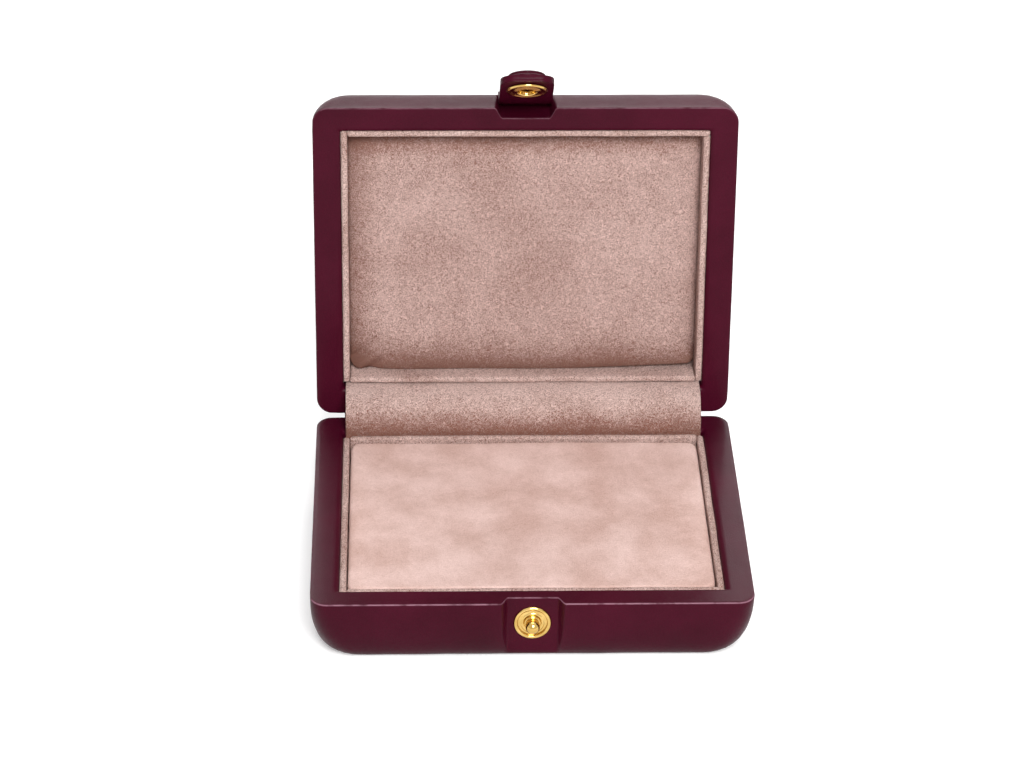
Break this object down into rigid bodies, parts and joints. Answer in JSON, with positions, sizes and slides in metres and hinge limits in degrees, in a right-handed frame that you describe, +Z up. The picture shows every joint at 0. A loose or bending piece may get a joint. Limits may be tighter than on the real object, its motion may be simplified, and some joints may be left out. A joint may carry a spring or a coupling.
{
  "type": "gemstone storage case",
  "caption": "Small leather-wrapped clamshell case with a suede pad, a crowned lid cushion and a snap tab.",
  "frame": {"origin": "centre of the flat underside of the base", "axes": "+X to the right, +Y to the hinge at the back, +Z up out of the base"},
  "size_m": [0.13, 0.1352, 0.1417],
  "materials": {
    "burgundy_leather": "satin",
    "rose_suede": "napped",
    "brass": "polished",
    "foam": "open cell",
    "card": "grey board",
    "core_wood": "sanded"
  },
  "bodies": {
    "base": {"base_core": "core_wood", "base_leather_cover": "burgundy_leather", "base_foam_block": "foam", "base_pad_board": "card", "base_pad_foam": "foam", "base_pad_suede": "rose_suede", "snap_stud": "brass", "snap_stud_rivet": "brass", "spine_leather": "burgundy_leather", "gusset_suede": "rose_suede", "base_liner_front_card": "card", "base_liner_front_suede": "rose_suede", "base_liner_rear_card": "card", "base_liner_rear_suede": "rose_suede", "base_liner_left_card": "card", "base_liner_left_suede": "rose_suede", "base_liner_right_card": "card", "base_liner_right_suede": "rose_suede"},
    "lid": {"lid_core": "core_wood", "lid_leather_cover": "burgundy_leather", "lid_cushion_board": "card", "lid_cushion_foam": "foam", "lid_cushion_suede": "rose_suede", "tab_root": "burgundy_leather", "lid_liner_front_card": "card", "lid_liner_front_suede": "rose_suede", "lid_liner_rear_card": "card", "lid_liner_rear_suede": "rose_suede", "lid_liner_left_card": "card", "lid_liner_left_suede": "rose_suede", "lid_liner_right_card": "card", "lid_liner_right_suede": "rose_suede"},
    "tab": {"tab_outer_leather": "burgundy_leather", "tab_lining": "burgundy_leather", "snap_socket": "brass", "snap_socket_spring": "brass", "snap_cap": "brass", "snap_cap_leather": "burgundy_leather"}
  },
  "joints": [
    {"name": "lid_hinge", "type": "hinge", "parent": "base", "child": "lid", "pos_m": [0, 0.05225, 0.02165], "axis": [1, 0, 0], "range_deg": [0, 95.7], "deforming": ["spine_leather", "gusset_suede"]},
    {"name": "tab_flex", "type": "hinge", "parent": "lid", "child": "tab", "pos_m": [0, 0.0665, 0.12469], "axis": [1, 0, 0], "range_deg": [-45.5, 44.5], "stiffness_Nm_per_rad": 0.02}
  ]
}
